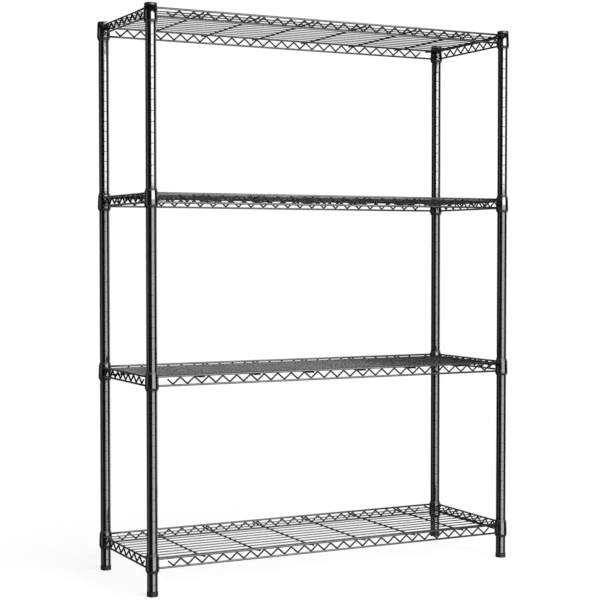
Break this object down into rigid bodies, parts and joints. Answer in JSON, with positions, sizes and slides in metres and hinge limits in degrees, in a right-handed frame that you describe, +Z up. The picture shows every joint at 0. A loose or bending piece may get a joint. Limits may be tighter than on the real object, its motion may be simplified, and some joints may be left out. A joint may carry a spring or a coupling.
{
  "type": "wire shelving rack",
  "caption": "Free-standing wire shelving rack: grooved tube posts carry lift-off welded wire shelves on split tapered sleeves, with domed post caps and screw levelling feet.",
  "frame": {"origin": "centre of the footprint on the floor, level with the undersides of the foot pads", "axes": "+Z up, +X to the right along the width, +Y towards the rear"},
  "size_m": [1.0112, 0.3562, 1.3763],
  "materials": {
    "frame_coat": "gloss",
    "wire_coat": "gloss",
    "sleeve_plastic": "satin",
    "cap_plastic": "satin",
    "foot_plastic": "satin",
    "zinc_steel": "satin"
  },
  "bodies": {
    "frame": {"post_front_left": "frame_coat", "foot_insert_front_left": "foot_plastic", "post_front_right": "frame_coat", "foot_insert_front_right": "foot_plastic", "post_rear_left": "frame_coat", "foot_insert_rear_left": "foot_plastic", "post_rear_right": "frame_coat", "foot_insert_rear_right": "foot_plastic", "shelf_1_sleeve_front_halves": "sleeve_plastic", "shelf_1_sleeve_rear_halves": "sleeve_plastic", "shelf_2_sleeve_front_halves": "sleeve_plastic", "shelf_2_sleeve_rear_halves": "sleeve_plastic", "shelf_3_sleeve_front_halves": "sleeve_plastic", "shelf_3_sleeve_rear_halves": "sleeve_plastic", "shelf_4_sleeve_front_halves": "sleeve_plastic", "shelf_4_sleeve_rear_halves": "sleeve_plastic"},
    "shelf_1": {"shelf_1_corner_collars": "frame_coat", "shelf_1_top_rim_wires": "wire_coat", "shelf_1_lower_rim_wires": "wire_coat", "shelf_1_truss_wires": "wire_coat", "shelf_1_deck_wires": "wire_coat", "shelf_1_cross_ribs": "wire_coat"},
    "shelf_2": {"shelf_2_corner_collars": "frame_coat", "shelf_2_top_rim_wires": "wire_coat", "shelf_2_lower_rim_wires": "wire_coat", "shelf_2_truss_wires": "wire_coat", "shelf_2_deck_wires": "wire_coat", "shelf_2_cross_ribs": "wire_coat"},
    "shelf_3": {"shelf_3_corner_collars": "frame_coat", "shelf_3_top_rim_wires": "wire_coat", "shelf_3_lower_rim_wires": "wire_coat", "shelf_3_truss_wires": "wire_coat", "shelf_3_deck_wires": "wire_coat", "shelf_3_cross_ribs": "wire_coat"},
    "shelf_4": {"shelf_4_corner_collars": "frame_coat", "shelf_4_top_rim_wires": "wire_coat", "shelf_4_lower_rim_wires": "wire_coat", "shelf_4_truss_wires": "wire_coat", "shelf_4_deck_wires": "wire_coat", "shelf_4_cross_ribs": "wire_coat"},
    "cap_front_left": {"post_cap_front_left": "cap_plastic"},
    "cap_front_right": {"post_cap_front_right": "cap_plastic"},
    "cap_rear_left": {"post_cap_rear_left": "cap_plastic"},
    "cap_rear_right": {"post_cap_rear_right": "cap_plastic"},
    "foot_pad_front_left": {"foot_pad_front_left": "foot_plastic"},
    "foot_pad_front_right": {"foot_pad_front_right": "foot_plastic"},
    "foot_pad_rear_left": {"foot_pad_rear_left": "foot_plastic"},
    "foot_pad_rear_right": {"foot_pad_rear_right": "foot_plastic"},
    "foot_screw_front_left": {"foot_stud_front_left": "zinc_steel", "foot_ring_front_left": "foot_plastic"},
    "foot_screw_front_right": {"foot_stud_front_right": "zinc_steel", "foot_ring_front_right": "foot_plastic"},
    "foot_screw_rear_left": {"foot_stud_rear_left": "zinc_steel", "foot_ring_rear_left": "foot_plastic"},
    "foot_screw_rear_right": {"foot_stud_rear_right": "zinc_steel", "foot_ring_rear_right": "foot_plastic"}
  },
  "joints": [
    {"name": "shelf_1_lift", "type": "slide", "parent": "frame", "child": "shelf_1", "axis": [0, 0, 1], "range_m": [0, 0.38]},
    {"name": "shelf_2_lift", "type": "slide", "parent": "frame", "child": "shelf_2", "axis": [0, 0, 1], "range_m": [0, 0.38]},
    {"name": "shelf_3_lift", "type": "slide", "parent": "frame", "child": "shelf_3", "axis": [0, 0, 1], "range_m": [0, 0.38]},
    {"name": "shelf_4_lift", "type": "slide", "parent": "frame", "child": "shelf_4", "axis": [0, 0, 1], "range_m": [0, 0.08]},
    {"name": "cap_front_left_pull", "type": "slide", "parent": "frame", "child": "cap_front_left", "axis": [0, 0, 1], "range_m": [0, 0.08]},
    {"name": "foot_front_left_travel", "type": "slide", "parent": "frame", "child": "foot_pad_front_left", "axis": [0, 0, -1], "range_m": [0, 0.0075]},
    {"name": "foot_front_left_turn", "type": "hinge", "parent": "foot_pad_front_left", "child": "foot_screw_front_left", "pos_m": [-0.489, -0.1615, 0], "axis": [0, 0, -1], "range_deg": [0, 2160]},
    {"name": "cap_front_right_pull", "type": "slide", "parent": "frame", "child": "cap_front_right", "axis": [0, 0, 1], "range_m": [0, 0.08]},
    {"name": "foot_front_right_travel", "type": "slide", "parent": "frame", "child": "foot_pad_front_right", "axis": [0, 0, -1], "range_m": [0, 0.0075]},
    {"name": "foot_front_right_turn", "type": "hinge", "parent": "foot_pad_front_right", "child": "foot_screw_front_right", "pos_m": [0.489, -0.1615, 0], "axis": [0, 0, -1], "range_deg": [0, 2160]},
    {"name": "cap_rear_left_pull", "type": "slide", "parent": "frame", "child": "cap_rear_left", "axis": [0, 0, 1], "range_m": [0, 0.08]},
    {"name": "foot_rear_left_travel", "type": "slide", "parent": "frame", "child": "foot_pad_rear_left", "axis": [0, 0, -1], "range_m": [0, 0.0075]},
    {"name": "foot_rear_left_turn", "type": "hinge", "parent": "foot_pad_rear_left", "child": "foot_screw_rear_left", "pos_m": [-0.489, 0.1615, 0], "axis": [0, 0, -1], "range_deg": [0, 2160]},
    {"name": "cap_rear_right_pull", "type": "slide", "parent": "frame", "child": "cap_rear_right", "axis": [0, 0, 1], "range_m": [0, 0.08]},
    {"name": "foot_rear_right_travel", "type": "slide", "parent": "frame", "child": "foot_pad_rear_right", "axis": [0, 0, -1], "range_m": [0, 0.0075]},
    {"name": "foot_rear_right_turn", "type": "hinge", "parent": "foot_pad_rear_right", "child": "foot_screw_rear_right", "pos_m": [0.489, 0.1615, 0], "axis": [0, 0, -1], "range_deg": [0, 2160]}
  ],
  "couplings": [
    {"joint": "cap_front_left_pull", "follows": "shelf_4_lift", "ratio": 1},
    {"joint": "foot_front_left_travel", "follows": "foot_front_left_turn", "m_per_rad": 0.00019894},
    {"joint": "cap_front_right_pull", "follows": "shelf_4_lift", "ratio": 1},
    {"joint": "foot_front_right_travel", "follows": "foot_front_right_turn", "m_per_rad": 0.00019894},
    {"joint": "cap_rear_left_pull", "follows": "shelf_4_lift", "ratio": 1},
    {"joint": "foot_rear_left_travel", "follows": "foot_rear_left_turn", "m_per_rad": 0.00019894},
    {"joint": "cap_rear_right_pull", "follows": "shelf_4_lift", "ratio": 1},
    {"joint": "foot_rear_right_travel", "follows": "foot_rear_right_turn", "m_per_rad": 0.00019894}
  ]
}
